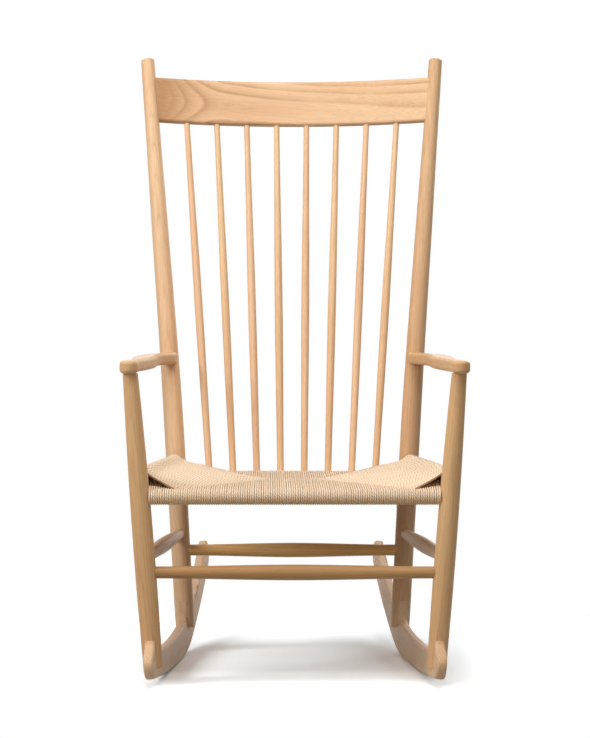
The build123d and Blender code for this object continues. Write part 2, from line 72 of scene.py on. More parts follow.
class Graph:
    """A material's node tree, built from the coordinates to the shader."""

    def __init__(self, name: str) -> None:
        """Starts an empty tree with a Principled shader and an output.

        Args:
            name: The material's name.
        """
        self.material = bpy.data.materials.new(name)
        self.material.use_nodes = True
        self.tree = self.material.node_tree
        self.tree.nodes.clear()
        self.output = self.tree.nodes.new("ShaderNodeOutputMaterial")
        self.shader = self.tree.nodes.new("ShaderNodeBsdfPrincipled")
        self.tree.links.new(self.shader.outputs["BSDF"], self.output.inputs["Surface"])

    def feed(self, socket: bpy.types.NodeSocket, value: object) -> None:
        """Links an input to another node's output, or sets it to a colour or a number.

        Args:
            socket: The input.
            value: An output socket, or what the input is set to. A colour gets its alpha here.
        """
        if isinstance(value, bpy.types.NodeSocket):
            self.tree.links.new(value, socket)
        elif isinstance(value, tuple) and socket.type == "RGBA":
            socket.default_value = (*value, 1.0)
        else:
            socket.default_value = value

    def node(self, kind: str, inputs: dict | None = None, **settings: object) -> bpy.types.Node:
        """Adds a node.

        Args:
            kind: The node's type, without its ShaderNode prefix.
            inputs: Socket name or number to a value, or to another node's output socket.
            settings: Properties of the node itself.

        Returns:
            The new node.
        """
        made = self.tree.nodes.new("ShaderNode" + kind)
        for key, value in settings.items():
            setattr(made, key, value)
        for key, value in (inputs or {}).items():
            self.feed(made.inputs[key], value)
        return made

    def math(
        self, operation: str, first: object, second: object = 0.0, clamp: bool = False
    ) -> bpy.types.NodeSocket:
        """Adds a Math node and returns its result."""
        inputs = {0: first, 1: second}
        return self.node("Math", inputs, operation=operation, use_clamp=clamp).outputs[0]

    def vector(self, operation: str, first: object, second: object) -> bpy.types.NodeSocket:
        """Adds a Vector Math node and returns its vector."""
        return self.node("VectorMath", {0: first, 1: second}, operation=operation).outputs[0]

    def noise(
        self, at: bpy.types.NodeSocket, noise: Noise, output: str = "Fac"
    ) -> bpy.types.NodeSocket:
        """Adds a noise texture.

        Args:
            at: The coordinates that it reads.
            noise: How fine and how drawn out it is.
            output: Fac for a number, or Color for three.

        Returns:
            The output of that name.
        """
        if noise.along != 1.0:
            at = self.vector("MULTIPLY", at, (1.0, 1.0, noise.along))
        inputs = {"Vector": at, "Scale": noise.scale, "Detail": noise.detail}
        return self.node("TexNoise", inputs).outputs[output]

    def ramp(self, at: bpy.types.NodeSocket, stops: Stops) -> bpy.types.NodeSocket:
        """Maps a number through straight stretches between stops.

        Args:
            at: The number.
            stops: Pairs of a position and the level there, in order.

        Returns:
            The level, as a grey.
        """
        made = self.node("ValToRGB", {"Fac": at})
        elements = made.color_ramp.elements
        while len(elements) < len(stops):
            elements.new(0.5)
        for element, (position, level) in zip(elements, stops):
            element.position = position
            element.color = (level, level, level, 1.0)
        return made.outputs["Color"]

    def blend(
        self, share: object, first: object, second: object, how: str = "MIX"
    ) -> bpy.types.NodeSocket:
        """Mixes two colours.

        Args:
            share: How much of the second colour comes in, as a socket or a number.
            first: A colour, or a socket of one.
            second: The same.
            how: The way in which the second is laid over the first.

        Returns:
            The mixed colour.
        """
        made = self.node("Mix", data_type="RGBA", blend_type=how)
        for number, value in ((0, share), (6, first), (7, second)):
            self.feed(made.inputs[number], value)
        return made.outputs[2]

    def facing_up(self) -> bpy.types.NodeSocket:
        """Returns the upward part of the surface's normal, from -1 to 1."""
        normal = self.node("NewGeometry").outputs["Normal"]
        return self.node("SeparateXYZ", {0: normal}).outputs["Z"]

    def finish(
        self, colour: object, roughness: object, specular: object, height: object, depth: float
    ) -> bpy.types.Material:
        """Connects the shader.

        Args:
            colour: The base colour's socket.
            roughness: The roughness' socket or number.
            specular: The reflection's strength, as a socket or number.
            height: The relief's socket.
            depth: What a height of one stands for, in metres.

        Returns:
            The finished material.
        """
        bump = self.node("Bump", {"Height": height, "Distance": depth, "Strength": 1.0})
        self.feed(self.shader.inputs["Normal"], bump.outputs["Normal"])
        self.feed(self.shader.inputs["Base Color"], colour)
        self.feed(self.shader.inputs["Roughness"], roughness)
        self.feed(self.shader.inputs["Specular IOR Level"], specular)
        return self.material


@dataclass(frozen=True)
class Cut:
    """How far a piece lies from the tree's centre line, how far that line leans to it, how fast the
    rings open along it, how wide they are and how dark they stand out. A bowed board's own bow is
    taken off with the square of the length. Short of arched, the rings close in pointed arches, the
    faster the further from there."""

    away: float
    lean: float
    opening: float
    ring: float
    contrast: float
    bow: float = 0.0
    arched: float = 0.0
    closing: float = 0.0


class Sawing(Enum):
    """The ways in which the pieces were sawn from the log."""

    QUARTERED = Cut(0.085, 0.006, 0.002, 0.0036, 0.26)
    RIFT = Cut(0.060, 0.012, 0.006, 0.0042, 0.36)
    FLAT = Cut(0.038, 0.020, 0.030, 0.0048, 0.50)
    ARCHED = Cut(0.0574, 0.000, -0.016, 0.0120, 0.74, bow=-0.47, arched=-0.130, closing=-2.70)


class Stock(Enum):
    """What a piece's wood does to the colour of the timber, in red, green and blue. Some are lit and
    shaded copies of one wood: painted shade on pieces that lie in shade, painted light on one
    that the seat shades.
    """

    PLAIN = (1.02, 1.01, 1.00)
    PINK = (1.08, 1.07, 1.10)
    YELLOW = (1.06, 1.07, 1.04)
    # golden and amber: deeper, more saturated wood, partly the pieces' own tone and partly painted
    # shade
    GOLDEN = (0.94, 0.87, 0.70)
    AMBER = (0.90, 0.83, 0.67)
    # painted shade: a darker copy of the wood for the back post away from the key lamp
    SHADED_TAWNY = (0.87, 0.82, 0.76)
    GREY = (0.97, 1.00, 1.04)
    # painted light: a paler, warmer copy of the wood for a piece that the seat shades
    LIT_HONEY = (1.22, 1.11, 0.72)
    # painted shade: a darker copy of the wood for pieces that lie under the seat
    SHADED_BROWN = (0.63, 0.53, 0.34)


@dataclass(frozen=True)
class Board:
    """One piece's place in its tree: the direction of its fibres, how it was sawn, what its wood is
    like, with some light or shade painted in, the face behind which the tree's centre lies, or none
    if that is left to chance, and how much smoother hands have rubbed its upper side."""

    along: Point
    sawing: Sawing
    stock: Stock
    face: Point | None = None
    polish: float = 0.0


@dataclass(frozen=True)
class Timber:
    """Pale, ring-porous wood, matt and lightly oiled. A piece's own lean and distance are its cut's
    times a number drawn from leaning and from spread. A ring's stops run from its open pores to its
    dense wood, and the other stops turn a noise, or the way that a face looks, into a share."""

    light: Colour = (0.760, 0.500, 0.290)
    warm: Colour = (0.720, 0.440, 0.245)
    dark: Colour = (0.460, 0.240, 0.105)
    pore: Colour = (0.330, 0.170, 0.075)
    leaning: tuple[float, float] = (0.6, 1.3)
    spread: tuple[float, float] = (0.9, 1.15)
    wander: float = 0.010
    wandering: Noise = Noise(17.0, 3.0, 0.16)
    ring: Stops = ((0.0, 0.55), (0.08, 1.0), (0.24, 0.55), (0.5, 0.22), (0.92, 0.0), (1.0, 0.5))
    clearness: Noise = Noise(9.0, 1.0)
    clear: Stops = ((0.3, 0.25), (0.7, 1.0))
    heart: float = 26.0
    fibres: Noise = Noise(520.0, 2.0, 0.012)
    streak: Stops = ((0.3, 0.90), (0.7, 1.05))
    vessels: Noise = Noise(1500.0, 1.0, 0.035)
    vessel: Stops = ((0.56, 0.0), (0.66, 1.0))
    open_in_dense: float = 0.2
    pore_share: float = 0.38
    clouds: Noise = Noise(11.0, 2.0, 0.3)
    cloud: Stops = ((0.35, 0.0), (0.65, 1.0))
    roughness: float = 0.48
    ring_roughness: float = 0.12
    specular: float = 0.28
    upward: Stops = ((0.55, 0.0), (0.95, 1.0))
    fibre_height: float = 0.35
    ring_height: float = 0.5
    relief: float = 0.00012

    def in_tree(
        self, graph: Graph, board: Board, centre: Point, draw: np.random.Generator
    ) -> bpy.types.NodeSocket:
        """Places a piece in its tree.

        Args:
            graph: The piece's material.
            board: How the piece lay in its tree.
            centre: The middle of the piece.
            draw: Where its own place comes from.

        Returns:
            Coordinates whose Z runs along the tree's centre line.
        """
        cut = board.sawing.value
        fibres = Vector(board.along).normalized()
        turn = draw.uniform(0.0, 2.0 * math.pi)
        across = fibres.orthogonal().normalized()
        out = across * math.cos(turn) + fibres.cross(across) * math.sin(turn)
        if board.face:
            out = Vector(board.face).normalized()
        tilted = (fibres + out * cut.lean * draw.uniform(*self.leaning)).normalized()
        pith = Vector(centre) + out * cut.away * draw.uniform(*self.spread)
        rotation = tilted.to_track_quat("Z", "Y").to_euler()
        place = graph.node("TexCoord").outputs["Object"]
        inputs = {"Vector": place, "Location": tuple(pith), "Rotation": tuple(rotation)}
        return graph.node("Mapping", inputs, vector_type="TEXTURE").outputs[0]

    def rings(
        self, graph: Graph, tree: bpy.types.NodeSocket, cut: Cut
    ) -> tuple[bpy.types.NodeSocket, bpy.types.NodeSocket]:
        """Lays the rings as shells round the tree's centre line. A shell's number is the distance
        from that line, bent by slow noise, plus the length times the rate at which the rings
        open, plus the arches, all divided by the rings' width. The rate changes with the length
        by the board's bow, and the arches grow with the square of the length short of arched.

        Args:
            graph: The piece's material.
            tree: The coordinates in the tree.
            cut: How the piece was sawn.

        Returns:
            How porous the wood is, and how far the arches have closed.
        """
        slow = graph.noise(tree, self.wandering, "Color")
        bent = graph.vector("SUBTRACT", slow, (0.5, 0.5, 0.5))
        bent = graph.vector("MULTIPLY", bent, (self.wander, self.wander, 0.0))
        moved = graph.vector("ADD", graph.vector("MULTIPLY", tree, (1.0, 1.0, 0.0)), bent)
        radius = graph.node("VectorMath", {0: moved}, operation="LENGTH").outputs["Value"]
        length = graph.node("SeparateXYZ", {0: tree}).outputs["Z"]
        rate = graph.math("ADD", graph.math("MULTIPLY", length, cut.bow), cut.opening)
        short = graph.math("MINIMUM", graph.math("SUBTRACT", length, cut.arched), 0.0)
        arches = graph.math("MULTIPLY", graph.math("MULTIPLY", short, short), cut.closing)
        shell = graph.math("ADD", radius, arches)
        shell = graph.math("ADD", shell, graph.math("MULTIPLY", length, rate))
        phase = graph.math("FRACT", graph.math("MULTIPLY", shell, 1.0 / cut.ring))
        return graph.ramp(phase, self.ring), arches

    def dress(self, name: str, board: Board, centre: Point, seed: int) -> bpy.types.Material:
        """Makes the wood of one piece: clouds of two pale tones, darker where a ring is porous and
        in the arches' heart, streaked by the fibres, with the open pores drawn in last.

        Args:
            name: The material's name.
            board: How the piece lay in its tree.
            centre: The middle of the piece.
            seed: Sets the piece's own place in the tree.

        Returns:
            The material.
        """
        graph = Graph(name)
        cut = board.sawing.value
        tree = self.in_tree(graph, board, centre, np.random.default_rng(seed))
        porous, arches = self.rings(graph, tree, cut)
        clear = graph.ramp(graph.noise(tree, self.clearness), self.clear)
        rings = graph.math("MULTIPLY", porous, clear)
        fibre = graph.noise(tree, self.fibres)
        vessels = graph.ramp(graph.noise(tree, self.vessels), self.vessel)
        openness = graph.math("MULTIPLY", porous, 1.0 - self.open_in_dense)
        openness = graph.math("ADD", openness, self.open_in_dense)
        pores = graph.math("MULTIPLY", vessels, openness)

        cloud = graph.ramp(graph.noise(tree, self.clouds), self.cloud)
        light, warm = [tuple(np.multiply(tone, board.stock.value)) for tone in (self.light, self.warm)]
        tone = graph.blend(cloud, light, warm)
        heart = graph.math("MULTIPLY", arches, -self.heart, clamp=True)
        tone = graph.blend(heart, tone, self.dark)
        tone = graph.blend(graph.math("MULTIPLY", rings, cut.contrast), tone, self.dark)
        tone = graph.blend(1.0, tone, graph.ramp(fibre, self.streak), "MULTIPLY")
        tone = graph.blend(graph.math("MULTIPLY", pores, self.pore_share), tone, self.pore)

        height = graph.math("SUBTRACT", graph.math("MULTIPLY", fibre, self.fibre_height), pores)
        height = graph.math("SUBTRACT", height, graph.math("MULTIPLY", rings, self.ring_height))
        rough = graph.math("MULTIPLY", rings, self.ring_roughness)
        rough = graph.math("ADD", rough, self.roughness)
        if not board.polish:
            return graph.finish(tone, rough, self.specular, height, self.relief)
        upward = graph.ramp(graph.facing_up(), self.upward)
        rubbed = graph.math("MULTIPLY", upward, board.polish)
        rough = graph.math("SUBTRACT", rough, rubbed)
        specular = graph.math("ADD", rubbed, self.specular)
        return graph.finish(tone, rough, specular, height, self.relief)


@dataclass(frozen=True)
class PaperCord:
    """Unbleached paper cord of three plies, with the crease between two plies running round it.
    Painted shade deepens and browns it wherever it faces down, and darkens the creases between
    plies and the flanks where neighbouring strands touch. The stops turn a noise, a strand's own
    number or a place on the cord into a share of the next colour."""

    pale: Colour = (0.955, 0.765, 0.570)
    deep: Colour = (0.915, 0.705, 0.500)
    # painted shade: the deeper, browner colour of the cord where it faces down
    underside: Colour = (0.970, 0.670, 0.380)
    # painted shade: the dark brown laid into the creases between plies and on the flanks
    crease_shade: Colour = (0.320, 0.150, 0.055)
    plies: int = 3
    paper: Noise = Noise(900.0, 3.0)
    mottled: Stops = ((0.3, 0.88), (0.7, 1.08))
    clouds: Noise = Noise(22.0, 2.0)
    own_share: float = 0.35
    deeper: Stops = ((0.2, 0.0), (0.8, 1.0))
    painted_shade_below: Stops = ((0.38, 0.0), (0.66, 1.0))
    # how much painted shade darkens the flanks, and the creases between plies
    flank: Stops = ((0.80, 0.0), (1.0, 0.85))
    ply_crease_shade: Stops = ((0.0, 0.80), (0.5, 0.0))
    roughness: float = 0.85
    specular: float = 0.10
    roundness: float = 0.6
    paper_height: float = 0.2
    relief: float = 0.0005

    def dress(self) -> bpy.types.Material:
        """Makes the cord's finish. A ply's ridge is the size of the sine of half an angle times the
        number of plies, and the angle is the one round the cord plus the one that the twist has turned
        so far along it. The flanks are the two sides that lie against the neighbours. Painted shade
        darkens the flanks and the creases between plies, and deepens the cord where it faces down.

        Returns:
            The material.
        """
        graph = Graph("paper_cord")
        wound = graph.node("UVMap", uv_map="twist").outputs[0]
        parts = graph.node("SeparateXYZ", {0: wound})
        turned = graph.math("ADD", parts.outputs["X"], parts.outputs["Y"])
        wave = graph.math("SINE", graph.math("MULTIPLY", turned, math.pi * self.plies))
        ridge = graph.math("ABSOLUTE", wave)
        around = graph.math("MULTIPLY", parts.outputs["Y"], 2.0 * math.pi)
        flank = graph.math("ABSOLUTE", graph.math("COSINE", around))
        place = graph.node("TexCoord").outputs["Object"]
        paper = graph.noise(place, self.paper)

        own = graph.node("Attribute", attribute_name="strand").outputs["Fac"]
        shade = graph.math("MULTIPLY", graph.noise(place, self.clouds), 1.0 - self.own_share)
        shade = graph.math("ADD", graph.math("MULTIPLY", own, self.own_share), shade)
        tone = graph.blend(graph.ramp(shade, self.deeper), self.pale, self.deep)
        # painted shade: the cord turns deeper and browner where it faces down
        down = graph.math("ADD", graph.math("MULTIPLY", graph.facing_up(), -0.5), 0.5)
        tone = graph.blend(graph.ramp(down, self.painted_shade_below), tone, self.underside)
        # painted shade on the flanks where neighbours touch and in the creases between plies
        tone = graph.blend(graph.ramp(flank, self.flank), tone, self.crease_shade)
        tone = graph.blend(graph.ramp(ridge, self.ply_crease_shade), tone, self.crease_shade)
        tone = graph.blend(1.0, tone, graph.ramp(paper, self.mottled), "MULTIPLY")

        height = graph.math("MULTIPLY", paper, self.paper_height)
        height = graph.math("ADD", graph.math("POWER", ridge, self.roundness), height)
        return graph.finish(tone, self.roughness, self.specular, height, self.relief)


def mesh_object(
    name: str, vertices: np.ndarray, quads: np.ndarray, caps: np.ndarray | None = None
) -> bpy.types.Object:
    """Puts arrays of vertices and faces into a smooth mesh object.

    Args:
        name: The object's name.
        vertices: One row of X, Y and Z for each vertex.
        quads: One row of four vertex numbers for each face.
        caps: One row of vertex numbers for each end face, if it has any.

    Returns:
        The object, linked to the scene.
    """
    faces = quads.tolist() + ([] if caps is None else caps.tolist())
    mesh = bpy.data.meshes.new(name)
    mesh.from_pydata(vertices.tolist(), [], faces)
    mesh.shade_smooth()
    made = bpy.data.objects.new(name, mesh)
    bpy.context.scene.collection.objects.link(made)
    return made


@dataclass
class SeatWeave:
    """The seat: strands over the front and back rails that end at the seams, strands over the side
    rails that begin there, and a sheet that rises from a level middle to the higher side rails.
    Distances behind the front rail are called behind."""

    # The front rail's Y and Z, how far behind it the back rail lies and how much lower, and the
    # right side rail's ends as X, distance behind and Z. Then the rails' and the cord's thickness.
    front_y: float = -0.400
    level: float = 0.323
    depth: float = 0.49208
    level_drop: float = 0.001
    side_front: Point = (0.26844, 0.0, 0.3580)
    side_back: Point = (0.21856, 0.4965, 0.353)
    rail_radius: float = 0.010
    cord: float = 0.00395
    # How many strands lie on each side of the middle one, where the side strands begin, how far
    # apart they lie, and how far a strand strays from its place.
    front_count: int = 63
    back_count: int = 50
    edge: float = 0.0195
    pitch: float = 0.0040
    stray: float = 0.00008
    # At three marks behind the front rail, how far from the mid-plane the sheet starts to rise and
    # the seam lies. No strand crosses those nearer to the mid-plane than the bridge.
    marks: Point = (0.018, 0.265, 0.474)
    rise_starts: Point = (0.207, 0.045, 0.119)
    seam_widths: Point = (0.207, 0.045, 0.175)
    bridge: float = 0.045
    # The seat's thickness between its layers, the knee inward of and above the side rail's centre,
    # and the foot inward of the knee.
    core: float = 0.008
    knee: tuple[float, float] = (0.0165, 0.0008)
    foot: float = 0.014
    # How far lengthwise strands reach under the side strands, how far beside the seam that starts
    # and by which power they climb there, and how far from the rail the lower layer has risen.
    shelf: float = 0.105
    seam_side: float = 0.002
    climb: float = 0.8
    lift: float = 0.07
    # The two points of a dip beyond the seam, and how deep they lie.
    dip: tuple[float, float] = (0.004, 0.008)
    dip_depth: tuple[float, float] = (0.0022, 0.0060)
    # The power by which the lower side strands rise, and what is added to it near the corners.
    hollow: float = 1.5
    corner_hollow: float = 5.0
    corner: float = 0.08
    # Where the points lie: a ring's, a run's as shares of it, the turns round the rails as first
    # angle, last angle and number, and the other stretches' numbers.
    sides: int = 8
    run: tuple[float, ...] = (0.0, 0.02, 0.06, 0.14, 0.26, 0.42, 0.62, 0.82, 1.0)
    cross_turn: tuple[float, float, int] = (250.0, 110.0, 8)
    side_turn: tuple[float, float, int] = (-105.0, 135.0, 12)
    knee_points: int = 4
    flank_points: int = 5
    below_points: int = 8
    # The length of one turn of the twist, and how far neighbours' twists drift apart, in turns.
    twist: float = 0.0165
    unevenness: float = 0.22
    seed: int = 7
    finish: PaperCord = field(default_factory=PaperCord)
    material: bpy.types.Material = field(init=False)

    def __post_init__(self) -> None:
        """Makes the cord's material, which all the strands share."""
        self.material = self.finish.dress()

    @property
    def winding(self) -> float:
        """Radius at which a strand's centre goes round a rail."""
        return self.rail_radius + self.cord / 2

    def rail(self, behind: np.ndarray) -> tuple[np.ndarray, np.ndarray]:
        """Finds the side rail's centre, on a straight line between its two ends.

        Args:
            behind: Distances behind the front rail.

        Returns:
            The X and the Z there.
        """
        share = behind / self.side_back[1]
        start, end = self.side_front, self.side_back
        return start[0] + (end[0] - start[0]) * share, start[2] + (end[2] - start[2]) * share

    def rail_level(self, behind: np.ndarray) -> np.ndarray:
        """Height of the front and back rails' centres, and of the plane between them."""
        return self.level - self.level_drop * behind / self.depth

    def starts(self, behind: np.ndarray) -> np.ndarray:
        """How far from the mid-plane the sheet starts to rise."""
        return np.interp(behind, self.marks, self.rise_starts)

    def seam(self, behind: np.ndarray) -> np.ndarray:
        """How far from the mid-plane the seam lies."""
        return np.interp(behind, self.marks, self.seam_widths)

    def seam_behind(self, x: np.ndarray, back: bool) -> np.ndarray:
        """Finds where strands from the front or the back rail end: at the seam, or, outside it,
        as far from the rail as the shelf under the side strands is deep.

        Args:
            x: The strands' own X.
            back: True for the back rail.

        Returns:
            The ends' distances behind the front rail.
        """
        end = -1 if back else 0
        mark, width = self.marks[end], self.seam_widths[end]
        middle, narrowest = self.marks[1], self.seam_widths[1]
        share = (np.abs(x) - narrowest) / (width - narrowest)
        met = middle + (mark - middle) * np.clip(share, 0.0, 1.0)
        shelf = self.depth - self.shelf if back else self.shelf
        return np.where(np.abs(x) > width, shelf, met)

    def top(self, x: np.ndarray, behind: np.ndarray) -> np.ndarray:
        """Finds the sheet's height: level, then straight up to the knee beside the side rail.

        Args:
            x: Distances from the mid-plane.
            behind: Distances behind the front rail.

        Returns:
            The Z of the upper strands' centres.
        """
        side_x, side_z = self.rail(behind)
        start = self.starts(behind)
        share = np.clip((np.abs(x) - start) / (side_x - self.knee[0] - start), 0.0, 1.0)
        low = self.rail_level(behind) + self.winding
        return low + (side_z + self.knee[1] - low) * share

    def tubes(
        self, name: str, paths: np.ndarray, binormal: Point, tone: np.ndarray, start_at: int
    ) -> bpy.types.Object:
        """Sweeps a ring along each path. A ring's point is the path's point plus the cord's radius
        times the cosine of its angle along the binormal and the sine along the normal, which is
        the path's direction crossed with the binormal. The twist's turns are the length so far
        over the length of one turn, plus an offset that drifts from strand to strand.

        Args:
            name: The object's name.
            paths: An array of strands by points by three.
            binormal: The direction square to every path's plane.
            tone: A number from 0 to 1 for each strand.
            start_at: The point of each path from which its twist is counted.

        Returns:
            The object.
        """
        count, points, _ = paths.shape
        tangent = np.gradient(paths, axis=1)
        tangent /= np.linalg.norm(tangent, axis=2, keepdims=True)
        beside = np.broadcast_to(np.array(binormal), tangent.shape)
        normal = np.cross(tangent, beside)
        angle = np.arange(self.sides)[:, None] * 2.0 * np.pi / self.sides
        ring = beside[:, :, None, :] * np.cos(angle) + normal[:, :, None, :] * np.sin(angle)
        vertices = (paths[:, :, None, :] + ring * self.cord / 2).reshape(-1, 3)

        strand, point, place = np.meshgrid(
            np.arange(count), np.arange(points - 1), np.arange(self.sides), indexing="ij"
        )
        here = (strand * points + point) * self.sides
        next_ring = here + self.sides
        after = (place + 1) % self.sides
        quads = np.stack([here + place, here + after, next_ring + after, next_ring + place], axis=-1)
        start = np.arange(count)[:, None] * points * self.sides + np.arange(self.sides)
        caps = np.concatenate([start[:, ::-1], start + (points - 1) * self.sides])
        made = mesh_object(name, vertices, quads.reshape(-1, 4), caps)

        spans = np.linalg.norm(np.diff(paths, axis=1, prepend=paths[:, :1]), axis=2)
        travelled = np.cumsum(spans, axis=1)
        drift = np.cumsum((tone - 0.5) * self.unevenness)
        turns = (travelled - travelled[:, start_at, None]) / self.twist + drift[:, None]
        near, far = turns[strand, point], turns[strand, point + 1]
        along = np.stack([near, near, far, far], axis=-1)
        around = np.stack([place, place + 1, place + 1, place], axis=-1) / self.sides
        loops = np.zeros((quads.size + caps.size, 2), dtype=np.float32)
        loops[: quads.size] = np.stack([along.reshape(-1), around.reshape(-1)], axis=-1)
        made.data.uv_layers.new(name="twist").data.foreach_set("uv", loops.reshape(-1))
        shade = made.data.attributes.new("strand", "FLOAT", "POINT")
        shade.data.foreach_set("value", np.repeat(tone, points * self.sides).astype(np.float32))
        made.data.materials.append(self.material)
        return made

    def lengthwise(
        self, name: str, number: int, back: bool, draw: np.random.Generator
    ) -> bpy.types.Object:
        """Winds strands over the front or the back rail, each in the plane of its own X: from its
        end below, round the rail on an arc, and over the top to its end, where it dips under the
        strands that cross it. Above, it follows the sheet, and outside the seam the underside of
        the side strands, a core's thickness lower, to which it climbs by a power of its reach.
        Below, it leaves the rail level and rises by a smooth step to a core's thickness under
        its upper run.

        Args:
            name: The object's name.
            number: How many strands lie on each side of the middle one.
            back: True for the back rail.
            draw: Where the small unevenness comes from.

        Returns:
            The object.
        """
        numbers = np.arange(-number, number + 1)
        x = numbers * self.cord + draw.normal(0.0, self.stray, len(numbers))
        rail, toward = (self.depth, -1.0) if back else (0.0, 1.0)
        ends = self.seam_behind(x, back)
        reach = np.abs(ends - rail)[:, None] * np.array(self.run)
        behind = rail + toward * reach
        rail_top = self.rail_level(behind) + self.winding
        over = self.top(x[:, None], behind)
        outside = np.abs(x)[:, None] > self.seam(behind) + self.seam_side
        climbed = np.clip(reach / self.shelf, 0.0, 1.0) ** self.climb
        over = np.where(outside, rail_top + (over - self.core - rail_top) * climbed, over)
        over[:, 0] = self.rail_level(rail) + self.winding
        crossed = (np.abs(x) > self.bridge).astype(float)[:, None]
        dip_y = ends[:, None] + toward * np.array(self.dip) * crossed
        dip_z = over[:, -1:] - np.array(self.dip_depth) * crossed

        angles = np.radians(np.linspace(*self.cross_turn))
        shape = (len(x), len(angles))
        round_y = np.broadcast_to(rail + toward * self.winding * np.cos(angles), shape)
        round_z = np.broadcast_to(self.rail_level(rail) + self.winding * np.sin(angles), shape)
        lift = np.clip(reach, 0.0, self.lift) / self.lift
        lift = lift * lift * (3.0 - 2.0 * lift)
        low = self.rail_level(behind) - self.winding
        under = low + (over - self.core - low) * lift

        y = np.concatenate([behind[:, ::-1], round_y, behind, dip_y], axis=1)
        z = np.concatenate([under[:, ::-1], round_z, over, dip_z], axis=1)
        path = np.stack([np.broadcast_to(x[:, None], y.shape), y + self.front_y, z], axis=-1)
        tone = draw.uniform(0.0, 1.0, len(x))
        return self.tubes(name, path, (1.0, 0.0, 0.0), tone, len(self.run))

    def crosswise(self, name: str, side: float, draw: np.random.Generator) -> bpy.types.Object:
        """Winds strands over a side rail, each in the plane of its own distance behind the front
        rail: from its end below the seam, round the rail's outside on an arc, over its top and
        down the flank on a bend, which is the curve of second degree from the arc's end through
        the knee to the foot, and straight on to the seam, where it dips. Below, its rise from the
        rail to the seam follows one minus a power of the way left, steeper near the corners.

        Args:
            name: The object's name.
            side: 1 for the right rail and -1 for the left.
            draw: Where the small unevenness comes from.

        Returns:
            The object.
        """
        number = int((self.depth - 2.0 * self.edge) / self.pitch)
        behind = np.linspace(self.edge, self.depth - self.edge, number)
        behind = behind + draw.normal(0.0, self.stray, number)
        side_x, side_z = self.rail(behind)
        seam = self.seam(behind)[:, None]
        angles = np.radians(np.linspace(*self.side_turn))
        round_x = side_x[:, None] + self.winding * np.cos(angles)
        round_z = side_z[:, None] + self.winding * np.sin(angles)

        knee = side_x - self.knee[0]
        foot = knee - self.foot
        bend = np.linspace(0.0, 1.0, self.knee_points + 1)[1:]
        rail_part, knee_part, foot_part = (1 - bend) ** 2, 2 * bend * (1 - bend), bend**2
        knee_z, foot_z = self.top(knee, behind)[:, None], self.top(foot, behind)[:, None]
        knee, foot = knee[:, None], foot[:, None]
        bend_x = round_x[:, -1:] * rail_part + knee * knee_part + foot * foot_part
        bend_z = round_z[:, -1:] * rail_part + knee_z * knee_part + foot_z * foot_part
        flank_x = foot + (seam - foot) * np.linspace(0.0, 1.0, self.flank_points + 1)[1:]
        flank_z = self.top(flank_x, behind[:, None])
        dip_x = seam - np.array(self.dip)
        dip_z = flank_z[:, -1:] - np.array(self.dip_depth)

        leave_x, leave_z = round_x[:, :1], round_z[:, :1]
        below = np.linspace(1.0, 0.0, self.below_points + 1)[:-1] ** 2
        nearest = np.minimum(behind, self.depth - behind)
        power = self.hollow + self.corner_hollow * np.clip(1.0 - nearest / self.corner, 0.0, 1.0)
        risen = 1.0 - (1.0 - below) ** power[:, None]
        under_x = leave_x + (seam - leave_x) * below
        under_z = leave_z + (flank_z[:, -1:] - self.core - leave_z) * risen

        x = side * np.concatenate([under_x, round_x, bend_x, flank_x, dip_x], axis=1)
        z = np.concatenate([under_z, round_z, bend_z, flank_z, dip_z], axis=1)
        y = np.broadcast_to(behind[:, None] + self.front_y, x.shape)
        tone = draw.uniform(0.0, 1.0, number)
        path = np.stack([x, y, z], axis=-1)
        return self.tubes(name, path, (0.0, -side, 0.0), tone, self.below_points)

    def build(self) -> list[bpy.types.Object]:
        """Winds the whole seat.

        Returns:
            The four groups of strands.
        """
        draw = np.random.default_rng(self.seed)
        pieces = [
            self.lengthwise("seat_cord_front", self.front_count, False, draw),
            self.lengthwise("seat_cord_back", self.back_count, True, draw),
            *(self.crosswise(f"seat_cord_{side}", sign, draw) for side, sign in SIDES.items()),
        ]
        for piece in pieces:
            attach(piece, BODY)
            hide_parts("seat_weave")
        return pieces


